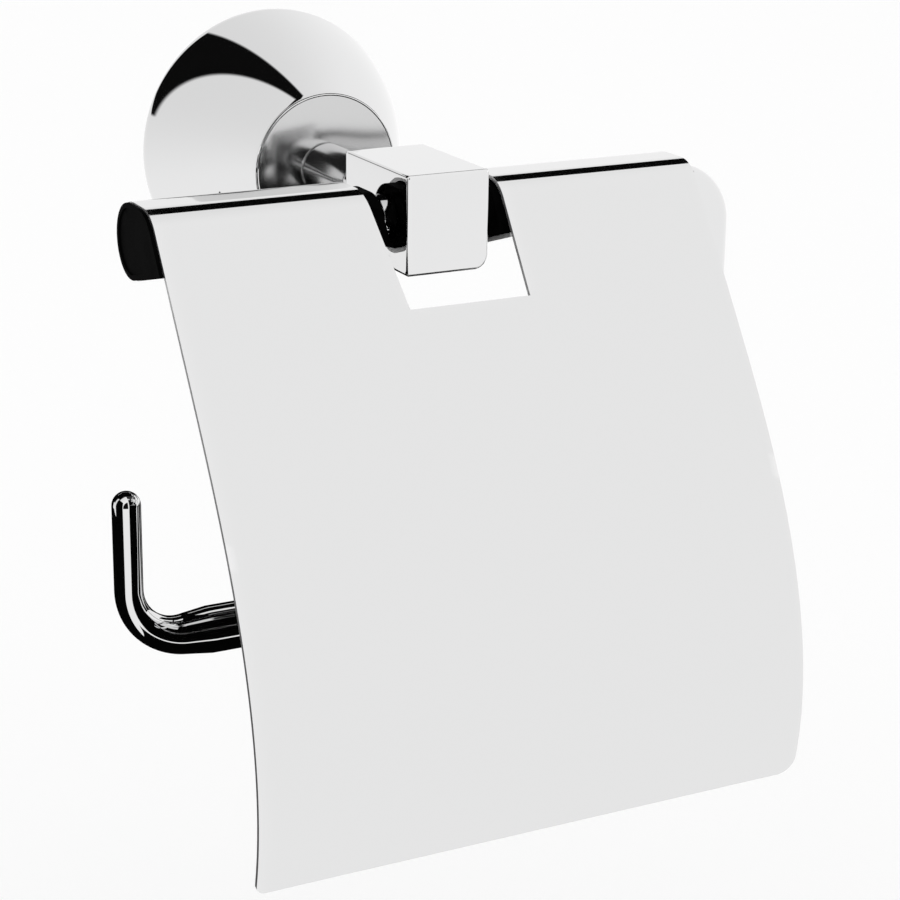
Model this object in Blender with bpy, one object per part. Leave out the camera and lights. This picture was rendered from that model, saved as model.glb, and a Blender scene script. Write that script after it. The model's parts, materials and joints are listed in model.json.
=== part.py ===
"""Wall-mounted toilet paper holder with a hinged cover.

A hollow cone rosette hides a wall bracket. A slim round post carries a square arm block,
and a bent bar passes through the block: its thin upper leg is the hinge journal of the
cover, its lower leg takes the paper roll and ends in an upturned tip. The cover is one
sheet, rolled round the journal at the top and cut out round the arm block.

Frame: origin on the wall plane at the post's axis, +X right, +Y into the wall, +Z up.
Sizes are in metres.
"""
import math

import bmesh
import bpy
from mathutils import Matrix, Vector

MM = 0.001
GAP = 0.3 * MM                   # clearance between neighbouring pieces

# Rosette, a thin hollow cone, slightly domed, with a flat front disc
ROSETTE_RADIUS = 34.8 * MM
ROSETTE_RIM = 1.4 * MM
ROSETTE_DEPTH = 35.5 * MM
DISC_RADIUS = 18.8 * MM
ROSETTE_BULGE = 1.5 * MM
ROSETTE_WALL = 1.8 * MM
ROSETTE_EDGE = 0.5 * MM

# Wall bracket, a shallow cup inside the rosette
BRACKET_RADIUS = 28.5 * MM
BRACKET_RIM = 3.0 * MM
BRACKET_PLATE = 3.0 * MM
BRACKET_DEPTH = 9.0 * MM
SLOT_PITCH = 19.0 * MM
SLOT_WIDTH = 6.0 * MM
SLOT_LENGTH = 12.0 * MM
GRUB_RADIUS = 2.0 * MM
GRUB_Y = -5.0 * MM

# Post, its bolt and its stud
POST_RADIUS = 6.5 * MM
THREAD_RADIUS = 3.0 * MM
BOLT_HEAD_RADIUS = 5.5 * MM
BOLT_HEAD = 3.5 * MM
BOLT_REACH = 12.0 * MM
BOLT_SOCKET_RADIUS = 2.5 * MM
BOLT_SOCKET = 2.0 * MM
THREAD_EDGE = 0.6 * MM
STUD_REACH = 9.0 * MM

# Grub screws, each with a socket at its low end and a cup point at its top
GRUB_SOCKET_RADIUS = 1.0 * MM
GRUB_SOCKET = 1.0 * MM
GRUB_POINT_RADIUS = 1.2 * MM
GRUB_POINT = 0.9 * MM
ROSETTE_GRUB_LENGTH = 3.6 * MM
ARM_GRUB_INSET = 0.6 * MM

# Arm block
ARM_BACK = -68.4 * MM
ARM_FRONT = -101.0 * MM
ARM_HALF_WIDTH = 10.1 * MM
ARM_HALF_HEIGHT = 11.3 * MM
ARM_EDGE = 0.7 * MM
ARM_LOW_EDGE = 3.3 * MM

# Hinge axis, which is also the axis of the bar's upper leg
AXIS_Y = -83.7 * MM
AXIS_Z = -1.2 * MM
OPEN_ANGLE = 100.0

# Roll bar
BAR_RADIUS = 5.5 * MM
JOURNAL_RADIUS = 3.5 * MM
JOURNAL_END_X = -62.0 * MM
SHOULDER_X = 67.8 * MM
UPRIGHT_X = 78.5 * MM
TOP_BEND = 9.0 * MM
LOW_BEND = 13.0 * MM
BAR_DROP = 92.9 * MM
TIP_X = -70.7 * MM
TIP_RADIUS = 3.3 * MM
TIP_TOP_Z = -57.7 * MM
TIP_TAPER = 6.0 * MM

# Cover sheet
COVER_HALF_WIDTH = 67.0 * MM
SHEET = 1.0 * MM
ROLL_RADIUS = 8.6 * MM
ROLL_END_ANGLE = -108.0          # where the roll lets go of its arc, below the axis
LIP_FALL = 4.0 * MM              # how far below the axis the rolled lip meets the flap
TOP_RUN = 6.0 * MM
BROW_RADIUS = 8.4 * MM
LEAN = 34.0
STRAIGHT_RUN = 30.0 * MM
LEAN_FALL = 3690.0               # degrees lost per square metre past the straight run
PLATE_LENGTH = 144.0 * MM
NOTCH_LEFT = -16.9 * MM
NOTCH_LEFT_LOW = -13.7 * MM
NOTCH_RIGHT = 16.0 * MM
NOTCH_RUN = 23.8 * MM
CORNER_LEFT = 2.2 * MM
CORNER_RIGHT = 4.4 * MM

# Bushes and end caps in the rolled edge
FLANGE = 0.8 * MM
FLANGE_INSET = 0.15 * MM
PROUD_LEFT = 3.4 * MM            # how far each bush stands out of the roll towards the arm
PROUD_RIGHT = 2.0 * MM
PLUG_LENGTH = 9.0 * MM
STOP_BUSH_LENGTH = 17.0 * MM
STOP_CUT = 5.0 * MM
STOP_PIN_RADIUS = 1.0 * MM
STOP_PIN_REACH = 5.6 * MM
STOP_PIN_ROOT = 0.8 * MM
STOP_PIN_ANGLE = -60.0
STOP_PLAY = 19.0

# Turns of a piece whose own axis is Z
WALLWARD = Matrix.Rotation(math.radians(-90.0), 4, "X")
ROOMWARD = Matrix.Rotation(math.radians(90.0), 4, "X")
ON_HINGE = (Matrix.Translation((0.0, AXIS_Y, AXIS_Z))
            @ Matrix.Rotation(math.radians(90.0), 4, "Y"))


def clear_scene():
    for leftover in list(bpy.data.objects):
        bpy.data.objects.remove(leftover, do_unlink=True)


def finish(name, colour, metallic, roughness):
    material = bpy.data.materials.new(name)
    material.use_nodes = True
    shader = material.node_tree.nodes["Principled BSDF"]
    shader.inputs["Base Color"].default_value = (*colour, 1.0)
    shader.inputs["Metallic"].default_value = metallic
    shader.inputs["Roughness"].default_value = roughness
    return material


def add_object(name, bm, material):
    bmesh.ops.recalc_face_normals(bm, faces=bm.faces)
    mesh = bpy.data.meshes.new(name)
    bm.to_mesh(mesh)
    bm.free()
    mesh.shade_smooth()
    mesh.set_sharp_from_angle(angle=math.radians(35.0))
    piece = bpy.data.objects.new(name, mesh)
    bpy.context.collection.objects.link(piece)
    if material:
        mesh.materials.append(material)
    return piece


def arc(centre, radius, start, end, steps):
    """Points on a circle in a plane, from one angle in degrees to another."""
    angles = [math.radians(start + (end - start) * i / steps) for i in range(steps + 1)]
    return [(centre[0] + radius * math.cos(a), centre[1] + radius * math.sin(a)) for a in angles]


def prism_x(outline, low, high):
    """A side profile, given relative to the hinge axis, extruded from low to high along X."""
    bm = bmesh.new()
    ring = [bm.verts.new((low, AXIS_Y + y, AXIS_Z + z)) for y, z in outline]
    face = bm.faces.new(ring)
    grown = bmesh.ops.extrude_face_region(bm, geom=[face])
    moved = [v for v in grown["geom"] if isinstance(v, bmesh.types.BMVert)]
    bmesh.ops.translate(bm, verts=moved, vec=(high - low, 0.0, 0.0))
    return bm


def prism_y(outline, low, high):
    """A front profile (x, z) extruded from low to high along Y."""
    bm = bmesh.new()
    face = bm.faces.new([bm.verts.new((x, low, z)) for x, z in outline])
    grown = bmesh.ops.extrude_face_region(bm, geom=[face])
    moved = [v for v in grown["geom"] if isinstance(v, bmesh.types.BMVert)]
    bmesh.ops.translate(bm, verts=moved, vec=(0.0, high - low, 0.0))
    return bm


def turned(profile, steps=48):
    """A closed profile of (radius, height) points spun once round the Z axis."""
    bm = bmesh.new()
    verts = [bm.verts.new((r, 0.0, h)) for r, h in profile]
    edges = [bm.edges.new((a, b)) for a, b in zip(verts, verts[1:] + verts[:1])]
    bmesh.ops.spin(bm, geom=verts + edges, axis=(0, 0, 1), cent=(0, 0, 0),
                   angle=math.tau, steps=steps, use_duplicate=False)
    bmesh.ops.remove_doubles(bm, verts=bm.verts, dist=0.001 * MM)
    bmesh.ops.dissolve_degenerate(bm, edges=bm.edges, dist=0.001 * MM)
    return bm


def placed(bm, matrix):
    bmesh.ops.transform(bm, matrix=matrix, verts=bm.verts)
    return bm


def rod(radius, low, high, edge=0.0, steps=32):
    """A plain round bar on the Z axis with chamfered ends."""
    return turned([(0.0, low), (radius - edge, low), (radius, low + edge),
                   (radius, high - edge), (radius - edge, high), (0.0, high)], steps)


def towards_wall(y):
    """Turns the Z axis into the Y axis and sets the turned piece's zero at y."""
    return Matrix.Translation((0.0, y, 0.0)) @ WALLWARD


def cut(piece, cutter_name, bm):
    """Cuts a hidden body out of a piece."""
    cutter = add_object(cutter_name, bm, None)
    cutter.hide_render = True
    cutter.display_type = "WIRE"
    boolean = piece.modifiers.new(cutter_name, "BOOLEAN")
    boolean.operation = "DIFFERENCE"
    boolean.solver = "EXACT"
    boolean.object = cutter


def make_bracket(steel):
    r, rim = BRACKET_RADIUS, BRACKET_RIM
    profile = [(0.0, 0.0), (r, 0.0), (r, BRACKET_DEPTH), (r - rim, BRACKET_DEPTH),
               (r - rim, BRACKET_PLATE), (0.0, BRACKET_PLATE)]
    bracket = add_object("wall_bracket", placed(turned(profile), ROOMWARD), steel)
    half, flat = SLOT_WIDTH / 2, (SLOT_LENGTH - SLOT_WIDTH) / 2
    for side, x in (("left", -SLOT_PITCH), ("right", SLOT_PITCH)):
        slot = arc((x, flat), half, 0, 180, 8) + arc((x, -flat), half, 180, 360, 8)
        cut(bracket, "slot_" + side, prism_y(slot, -2 * BRACKET_PLATE, BRACKET_PLATE))
    return bracket


def cone_line(inset, start, end, steps):
    """(radius, height) points up the rosette's domed flank, between two heights."""
    low, high = ROSETTE_RIM, ROSETTE_DEPTH - ROSETTE_EDGE
    points = []
    for i in range(steps + 1):
        height = start + (end - start) * i / steps
        share = (height - low) / (high - low)
        bulge = 4.0 * ROSETTE_BULGE * share * (1.0 - share)
        radius = ROSETTE_RADIUS + (DISC_RADIUS - ROSETTE_RADIUS) * share + bulge
        points.append((radius - inset, height))
    return points


def make_rosette(chrome):
    bore = THREAD_RADIUS + GAP
    shoulder, floor = ROSETTE_DEPTH - ROSETTE_EDGE, ROSETTE_DEPTH - ROSETTE_WALL
    outer = [(ROSETTE_RADIUS, 0.0)] + cone_line(0.0, ROSETTE_RIM, shoulder, 12)
    outer += [(DISC_RADIUS - ROSETTE_EDGE, ROSETTE_DEPTH), (bore, ROSETTE_DEPTH)]
    inner = [(bore, floor)] + cone_line(ROSETTE_WALL, floor, 0.0, 12)
    rosette = add_object("rosette", placed(turned(outer + inner, 64), ROOMWARD), chrome)
    drill = placed(rod(GRUB_RADIUS + GAP, -ROSETTE_RADIUS, -BRACKET_RADIUS, steps=24),
                   Matrix.Translation((0.0, GRUB_Y, 0.0)))
    cut(rosette, "rosette_grub_hole", drill)
    return rosette


def grub_profile(length):
    return [(0.0, GRUB_SOCKET), (GRUB_SOCKET_RADIUS, GRUB_SOCKET), (GRUB_SOCKET_RADIUS, 0.0),
            (GRUB_RADIUS, 0.0), (GRUB_RADIUS, length - GRUB_POINT),
            (GRUB_POINT_RADIUS, length), (0.0, length)]


def make_screws(steel):
    """The rosette's grub screw, the post's bolt, the arm's stud and the bar's grub screw."""
    grub = turned(grub_profile(ROSETTE_GRUB_LENGTH), 24)
    low = -BRACKET_RADIUS - GAP - ROSETTE_GRUB_LENGTH
    add_object("rosette_grub_screw", placed(grub, Matrix.Translation((0.0, GRUB_Y, low))), steel)

    socket, depth = BOLT_SOCKET_RADIUS, BOLT_SOCKET
    reach = BOLT_HEAD + ROSETTE_WALL + GAP + BOLT_REACH
    bolt = turned([(0.0, depth), (socket, depth), (socket, 0.0), (BOLT_HEAD_RADIUS, 0.0),
                   (BOLT_HEAD_RADIUS, BOLT_HEAD), (THREAD_RADIUS, BOLT_HEAD),
                   (THREAD_RADIUS, reach - THREAD_EDGE), (THREAD_RADIUS - THREAD_EDGE, reach),
                   (0.0, reach)], 32)
    head_y = -(ROSETTE_DEPTH - ROSETTE_WALL - GAP - BOLT_HEAD)
    place = Matrix.Translation((0.0, head_y, 0.0)) @ ROOMWARD
    add_object("post_bolt", placed(bolt, place), steel)

    stud = rod(THREAD_RADIUS, -STUD_REACH, STUD_REACH, THREAD_EDGE)
    add_object("arm_stud", placed(stud, towards_wall(ARM_BACK)), steel)

    top = AXIS_Z - JOURNAL_RADIUS - GAP
    low = ARM_GRUB_INSET - ARM_HALF_HEIGHT
    grub = turned(grub_profile(top - low), 24)
    add_object("arm_grub_screw", placed(grub, Matrix.Translation((0.0, AXIS_Y, low))), steel)


def make_post(chrome):
    back, front = -ROSETTE_DEPTH - GAP, ARM_BACK + GAP
    middle, half = (back + front) / 2, (back - front) / 2
    post = add_object("post", placed(rod(POST_RADIUS, -half, half, 0.3 * MM, 48),
                                     towards_wall(middle)), chrome)
    bore = THREAD_RADIUS + GAP
    bolt_bore = rod(bore, -BOLT_REACH - GAP, BOLT_REACH, steps=32)
    cut(post, "post_bolt_bore", placed(bolt_bore, towards_wall(back)))
    stud_bore = rod(bore, -STUD_REACH, STUD_REACH + GAP, steps=32)
    cut(post, "post_stud_bore", placed(stud_bore, towards_wall(ARM_BACK)))
    return post


def make_arm(chrome):
    w, h, small, large = ARM_HALF_WIDTH, ARM_HALF_HEIGHT, ARM_EDGE, ARM_LOW_EDGE
    outline = (arc((w - small, h - small), small, 0, 90, 3)
               + arc((-w + small, h - small), small, 90, 180, 3)
               + arc((-w + small, -h + small), small, 180, 270, 3)
               + arc((w - large, -h + large), large, 270, 360, 8))
    arm = add_object("arm", prism_y(outline, ARM_FRONT, ARM_BACK), chrome)
    soften = arm.modifiers.new("soft_edges", "BEVEL")
    soften.width = 0.6 * MM
    soften.segments = 2
    soften.limit_method = "ANGLE"
    soften.angle_limit = math.radians(60.0)
    journal_bore = rod(JOURNAL_RADIUS + GAP, -2 * w, 2 * w, steps=32)
    cut(arm, "journal_bore", placed(journal_bore, ON_HINGE))
    stud_bore = rod(THREAD_RADIUS + GAP, -STUD_REACH - GAP, STUD_REACH, steps=32)
    cut(arm, "stud_bore", placed(stud_bore, towards_wall(ARM_BACK)))
    grub_bore = rod(GRUB_RADIUS + GAP, -2 * h, AXIS_Z, steps=24)
    cut(arm, "grub_bore", placed(grub_bore, Matrix.Translation((0.0, AXIS_Y, 0.0))))
    return arm


def make_spacer(name, low, high, chrome):
    inner, outer = JOURNAL_RADIUS + GAP, JOURNAL_RADIUS + 1.6 * MM
    ring = turned([(inner, low), (outer, low), (outer, high), (inner, high)], 32)
    return add_object(name, placed(ring, ON_HINGE), chrome)


def bar_route():
    """(x, z, radius) along the bar's centre line, relative to the hinge axis."""
    route = [(JOURNAL_END_X, 0.0, JOURNAL_RADIUS - 0.4 * MM),
             (JOURNAL_END_X + 0.4 * MM, 0.0, JOURNAL_RADIUS),
             (SHOULDER_X, 0.0, JOURNAL_RADIUS), (SHOULDER_X, 0.0, BAR_RADIUS - 0.4 * MM),
             (SHOULDER_X + 0.4 * MM, 0.0, BAR_RADIUS)]
    for x, z in arc((UPRIGHT_X - TOP_BEND, -TOP_BEND), TOP_BEND, 90, 0, 8):
        route.append((x, z, BAR_RADIUS))
    for x, z in arc((UPRIGHT_X - LOW_BEND, LOW_BEND - BAR_DROP), LOW_BEND, 0, -90, 8):
        route.append((x, z, BAR_RADIUS))
    tip_z = TIP_TOP_Z - AXIS_Z - TIP_RADIUS
    taper_start = TIP_X + LOW_BEND + TIP_TAPER
    route.append((taper_start, -BAR_DROP, BAR_RADIUS))
    bend = arc((TIP_X + LOW_BEND, LOW_BEND - BAR_DROP), LOW_BEND, 270, 180, 10)
    for i, (x, z) in enumerate(bend):
        share = math.sin(math.pi / 2 * i / (len(bend) - 1))
        route.append((x, z, BAR_RADIUS + (TIP_RADIUS + 0.1 * MM - BAR_RADIUS) * share))
    for angle in (0, 25, 45, 62, 76, 86):
        a = math.radians(angle)
        route.append((TIP_X, tip_z + TIP_RADIUS * math.sin(a), TIP_RADIUS * math.cos(a)))
    return route


def make_bar(chrome, sides=24):
    route = bar_route()
    bm = bmesh.new()
    rings = []
    for i, (x, z, radius) in enumerate(route):
        before, after = route[max(i - 1, 0)], route[min(i + 1, len(route) - 1)]
        run = Vector((after[0] - before[0], 0.0, after[1] - before[1])).normalized()
        side = run.cross(Vector((0.0, 1.0, 0.0)))
        ring = []
        for k in range(sides):
            a = math.tau * k / sides
            offset = side * math.cos(a) + Vector((0.0, 1.0, 0.0)) * math.sin(a)
            ring.append(bm.verts.new(Vector((x, AXIS_Y, z + AXIS_Z)) + offset * radius))
        rings.append(ring)
    for lower, upper in zip(rings, rings[1:]):
        for k in range(sides):
            n = (k + 1) % sides
            bm.faces.new((lower[k], lower[n], upper[n], upper[k]))
    bm.faces.new(rings[0])
    bm.faces.new(rings[-1])
    bar = add_object("roll_bar", bm, chrome)
    hole = rod(STOP_PIN_RADIUS + GAP, STOP_PIN_ROOT - GAP, 2 * JOURNAL_RADIUS, steps=16)
    cut(bar, "stop_pin_hole", placed(hole, stop_pin_place()))
    return bar


def stop_pin_place():
    """The stop pin's own Z axis, pointing out of the journal at its angle."""
    x = NOTCH_LEFT - STOP_BUSH_LENGTH + STOP_CUT / 2
    tilt = math.radians(STOP_PIN_ANGLE - 90.0)
    return Matrix.Translation((x, AXIS_Y, AXIS_Z)) @ Matrix.Rotation(tilt, 4, "X")


def make_stop_pin(steel):
    pin = rod(STOP_PIN_RADIUS, STOP_PIN_ROOT, STOP_PIN_REACH, 0.2 * MM, 16)
    return add_object("stop_pin", placed(pin, stop_pin_place()), steel)


def brow_foot():
    """Where the rounded brow passes into the flap, relative to the hinge axis."""
    lean = math.radians(LEAN)
    return (-TOP_RUN - BROW_RADIUS * math.cos(lean),
            ROLL_RADIUS - BROW_RADIUS + BROW_RADIUS * math.sin(lean))


def flap_angle(run):
    """How far the flap leans forwards at a distance below the brow."""
    past = max(0.0, run - STRAIGHT_RUN)
    return math.radians(LEAN - LEAN_FALL * past * past)


def flap_line(offset, steps):
    """The flap below the brow, as seen from the side; offset is measured inwards."""
    y, z = brow_foot()
    points, step = [], PLATE_LENGTH / steps
    for i in range(steps + 1):
        angle = flap_angle(i * step)
        points.append((y + offset * math.cos(angle), z - offset * math.sin(angle)))
        middle = flap_angle((i + 0.5) * step)
        y -= step * math.sin(middle)
        z -= step * math.cos(middle)
    return points


def roll_line(offset, steps=18):
    """The rolled top: the brow, and the roll round the journal; offset is inwards."""
    brow = arc((-TOP_RUN, ROLL_RADIUS - BROW_RADIUS), BROW_RADIUS - offset, 180 - LEAN, 90, 6)
    back = arc((0.0, 0.0), ROLL_RADIUS - offset, 90, ROLL_END_ANGLE, steps)
    return brow, back


def lip_point(offset, inset):
    """Where the rolled edge's end meets the flap's back, inset from it along the roll."""
    lean = math.radians(LEAN)
    y, z = brow_foot()
    y += (SHEET + inset) * math.cos(lean)
    z -= (SHEET + inset) * math.sin(lean)
    fall = z + LIP_FALL - offset
    return (y - fall * math.tan(lean), z - fall)


def cover_outline():
    steps = 24
    brow, back = roll_line(0.0)
    outer = flap_line(0.0, steps)[::-1] + brow[1:] + back + [lip_point(0.0, GAP)]
    brow, back = roll_line(SHEET)
    inner = [lip_point(SHEET, GAP)] + back[::-1] + brow[:0:-1] + flap_line(SHEET, steps)
    return outer + inner


def tube_outline(offset):
    """The closed D of the rolled edge's section, set in by an offset from its outside."""
    brow, back = roll_line(offset, 14)
    low = lip_point(offset, offset - SHEET)
    return brow + back + [low]


def bottom_corner_cutter(side, radius):
    """The waste outside a rounded bottom corner, as a front profile."""
    edge = side * COVER_HALF_WIDTH
    bottom = AXIS_Z + flap_line(0.0, 24)[-1][1]
    centre = (edge - side * radius, bottom + radius)
    waste = 4.0 * MM
    start, end = (180, 270) if side < 0 else (0, -90)
    rounding = arc(centre, radius, start, end, 8)
    return rounding + [(centre[0], bottom - waste), (edge + side * waste, bottom - waste),
                       (edge + side * waste, centre[1])]


def notch_outline():
    """The side view of what the cut-out round the arm block removes."""
    lean = math.radians(LEAN)
    top_y, top_z = brow_foot()
    low_y = top_y - NOTCH_RUN * math.sin(lean)
    low_z = top_z - NOTCH_RUN * math.cos(lean)
    inward = 4 * SHEET
    proud = 6 * SHEET
    clear = 2 * ROLL_RADIUS
    return [(low_y - proud * math.cos(lean), low_z + proud * math.sin(lean)),
            (low_y + inward * math.cos(lean), low_z - inward * math.sin(lean)),
            (clear, -clear), (clear, clear), (low_y - proud, clear)]


def notch_cutter():
    """The cut-out's body; its left side slants inwards on the way down."""
    bm = prism_x(notch_outline(), NOTCH_LEFT, NOTCH_RIGHT)
    top = AXIS_Z + brow_foot()[1]
    fall = NOTCH_RUN * math.cos(math.radians(LEAN))
    for vert in bm.verts:
        if vert.co.x < 0.0:
            vert.co.x += (NOTCH_LEFT_LOW - NOTCH_LEFT) * (top - vert.co.z) / fall
    return bm


def make_cover(polished):
    cover = add_object("cover", prism_x(cover_outline(), -COVER_HALF_WIDTH, COVER_HALF_WIDTH),
                       polished)
    cut(cover, "arm_notch", notch_cutter())
    low_edge = AXIS_Y + flap_line(0.0, 24)[-1][0]
    for name, side, radius in (("corner_left", -1, CORNER_LEFT), ("corner_right", 1, CORNER_RIGHT)):
        front, back = low_edge - 10 * SHEET, low_edge + 10 * SHEET
        cut(cover, name, prism_y(bottom_corner_cutter(side, radius), front, back))
    return cover


def make_plug(name, mouth, side, length, proud, bore, nylon):
    """A D-shaped plug in the roll, standing proud of its mouth.

    side is the direction from the mouth into the roll; bore is the depth of the journal's
    hole, counted from the plug's inner end.
    """
    far = mouth + side * length
    ends = sorted((mouth - side * proud, far))
    plug = add_object(name, prism_x(tube_outline(SHEET + GAP), *ends), nylon)
    ends = sorted((far + side * MM, far - side * bore))
    cut(plug, name + "_bore", placed(rod(JOURNAL_RADIUS + GAP, *ends, steps=32), ON_HINGE))
    return plug


def make_plugs(nylon):
    blind = PLUG_LENGTH + GAP - (JOURNAL_END_X + COVER_HALF_WIDTH)
    cap = make_plug("end_cap_left", -COVER_HALF_WIDTH, 1, PLUG_LENGTH, FLANGE / 2, blind, nylon)
    ends = (-COVER_HALF_WIDTH - GAP - FLANGE, -COVER_HALF_WIDTH - GAP)
    lid = add_object("cap_lid", prism_x(tube_outline(FLANGE_INSET), *ends), None)
    lid.hide_render = True
    lid.display_type = "WIRE"
    join = cap.modifiers.new("lid", "BOOLEAN")
    join.operation = "UNION"
    join.solver = "EXACT"
    join.object = lid

    through = PLUG_LENGTH + 2 * PROUD_LEFT
    make_plug("end_cap_right", COVER_HALF_WIDTH, -1, PLUG_LENGTH, -GAP, through, nylon)
    make_plug("bush_right", NOTCH_RIGHT, 1, PLUG_LENGTH, PROUD_RIGHT, through, nylon)
    bush = make_plug("bush_left", NOTCH_LEFT, -1, STOP_BUSH_LENGTH, PROUD_LEFT,
                     STOP_BUSH_LENGTH + 2 * PROUD_LEFT, nylon)
    first, last = STOP_PIN_ANGLE - STOP_PLAY, STOP_PIN_ANGLE + OPEN_ANGLE + STOP_PLAY
    sector = [(0.0, 0.0)] + arc((0.0, 0.0), 2 * ROLL_RADIUS, first, last, 12)
    far = NOTCH_LEFT - STOP_BUSH_LENGTH
    cut(bush, "stop_sector", prism_x(sector, far - MM, far + STOP_CUT))


def build():
    clear_scene()
    chrome = finish("chrome", (0.86, 0.87, 0.88), 1.0, 0.05)
    polished = finish("polished_sheet", (0.80, 0.80, 0.81), 1.0, 0.09)
    steel = finish("zinc_steel", (0.55, 0.56, 0.57), 1.0, 0.35)
    nylon = finish("black_nylon", (0.012, 0.012, 0.013), 0.0, 0.4)

    make_bracket(steel)
    make_rosette(chrome)
    make_screws(steel)
    make_post(chrome)
    make_arm(chrome)
    near = ARM_HALF_WIDTH + GAP
    make_spacer("spacer_left", NOTCH_LEFT + PROUD_LEFT + GAP, -near, chrome)
    make_spacer("spacer_right", near, NOTCH_RIGHT - PROUD_RIGHT - GAP, chrome)
    make_bar(chrome)
    make_stop_pin(steel)

    hinge = bpy.data.objects.new("cover_hinge", None)
    hinge.location = (0.0, AXIS_Y, AXIS_Z)
    bpy.context.collection.objects.link(hinge)
    bpy.context.view_layer.update()
    make_cover(polished)
    make_plugs(nylon)
    for name in ("cover", "end_cap_left", "end_cap_right", "bush_left", "bush_right"):
        piece = bpy.data.objects[name]
        piece.parent = hinge
        piece.matrix_parent_inverse = hinge.matrix_world.inverted()


build()
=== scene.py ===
"""Looks of the toilet paper holder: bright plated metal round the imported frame.

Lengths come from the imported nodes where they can; the rest are named below in metres.
"""

import json
import math

import bmesh
import bpy
from mathutils import Matrix, Vector


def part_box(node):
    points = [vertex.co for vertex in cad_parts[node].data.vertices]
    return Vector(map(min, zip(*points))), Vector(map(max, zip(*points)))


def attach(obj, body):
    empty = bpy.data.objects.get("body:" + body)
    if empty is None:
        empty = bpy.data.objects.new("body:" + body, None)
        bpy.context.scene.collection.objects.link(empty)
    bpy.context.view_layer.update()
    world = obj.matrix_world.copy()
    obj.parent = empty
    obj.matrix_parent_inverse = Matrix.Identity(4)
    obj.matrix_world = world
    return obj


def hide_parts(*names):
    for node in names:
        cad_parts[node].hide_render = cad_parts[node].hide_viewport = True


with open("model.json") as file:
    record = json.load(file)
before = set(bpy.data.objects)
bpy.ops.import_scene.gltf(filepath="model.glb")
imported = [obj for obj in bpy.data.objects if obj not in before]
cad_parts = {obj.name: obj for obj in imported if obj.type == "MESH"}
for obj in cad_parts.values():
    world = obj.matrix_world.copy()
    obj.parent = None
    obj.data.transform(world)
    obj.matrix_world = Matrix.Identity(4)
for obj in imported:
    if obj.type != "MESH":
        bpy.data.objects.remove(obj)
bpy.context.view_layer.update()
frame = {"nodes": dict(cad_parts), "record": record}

MM = 0.001


def corners(name):
    """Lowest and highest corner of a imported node."""
    low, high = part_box(name)
    return Vector(low), Vector(high)


# Places and sizes read from the frame
HINGE = Vector(frame["record"]["behaviour"]["joints"][0]["pos_m"])
COVER_LOW, COVER_HIGH = corners("cover")
ROSETTE_LOW, ROSETTE_HIGH = corners("rosette")
ARM_LOW, ARM_HIGH = corners("arm")
POST_LOW, POST_HIGH = corners("post")
BAR_LOW, BAR_HIGH = corners("roll_bar")
SPACER_LOW, SPACER_HIGH = corners("spacer_right")

# Cover: its section runs from the lip round the roll, over the brow and down the flap
SHEET = 1.0 * MM
SHEET_EDGE = 0.16 * MM
ROLL_RADIUS = 8.6 * MM
ROLL_END_ANGLE = -108.0
LIP_FALL = 4.0 * MM
TOP_RUN = 6.0 * MM
BROW_RADIUS = 8.4 * MM
LEAN = 34.0
STRAIGHT_RUN = 30.0 * MM
LEAN_FALL = 3690.0
FLAP_LENGTH = 144.0 * MM
NOTCH_LEFT = -16.9 * MM
NOTCH_LEFT_LOW = -13.7 * MM
NOTCH_RIGHT = 16.0 * MM
NOTCH_RUN = 23.8 * MM
CORNER_LEFT = 2.2 * MM
CORNER_RIGHT = 4.4 * MM
CORNER_ZONE = 9.0 * MM
LIP_ROWS, ROLL_ROWS, TOP_ROWS, BROW_ROWS = 10, 64, 5, 28
NOTCH_ROWS, FLAP_ROWS = 14, 64
SIDE_COLUMNS, NOTCH_COLUMNS = 26, 12

# Rosette and post
DISC_RADIUS = 18.8 * MM
DISC_EDGE = 0.5 * MM
DISC_SEAM = 0.8 * MM
ROSETTE_RIM = 1.4 * MM
ROSETTE_RIM_EDGE = 0.4 * MM
ROSETTE_BULGE = 1.5 * MM
SHELL = 1.8 * MM
POST_EDGE = 0.35 * MM

# Arm and spacers
ARM_EDGE = 0.7 * MM
ARM_ROUND_EDGE = 3.3 * MM
ARM_END_EDGE = 0.65 * MM
ARM_BORDER = 1.5 * MM
SPACER_EDGE = 0.3 * MM
GRUB_HOLE_RADIUS = 2.3 * MM
GRUB_HOLE_DEPTH = 12.0 * MM

# Roll bar
JOURNAL_RADIUS = 3.5 * MM
JOURNAL_EDGE = 0.4 * MM
JOURNAL_END_X = -62.0 * MM
SHOULDER_X = 67.8 * MM
SHOULDER_EDGE = 0.5 * MM
BAR_RADIUS = (BAR_HIGH.y - BAR_LOW.y) / 2
UPRIGHT_X = BAR_HIGH.x - BAR_RADIUS
TOP_BEND = 9.0 * MM
LOW_BEND = 13.0 * MM
BEND_STEPS, HOOK_STEPS = 28, 36
TIP_X = -70.7 * MM
TIP_RADIUS = 3.3 * MM
TIP_TOP_Z = -57.7 * MM
TIP_TAPER = 6.0 * MM

# Bushes and caps
GAP = 0.3 * MM
PLUG_EDGE = 0.25 * MM
PLUG_DRILL_REACH = 30.0 * MM
PLUG_PANEL_INSET = 2.5 * MM
PLUG_PANEL_DEPTH = 0.25 * MM
STOP_CUT = 5.0 * MM
STOP_ANGLES = (-79.0, 59.0)
LID = 0.8 * MM
LID_INSET = 0.15 * MM
LID_EDGE = 0.18 * MM
LID_PANEL_INSET = 1.35 * MM
LID_PANEL_DEPTH = 0.3 * MM
LID_OVERLAP = 0.3 * MM
CAP_PLUG_EDGE = 0.2 * MM

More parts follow.
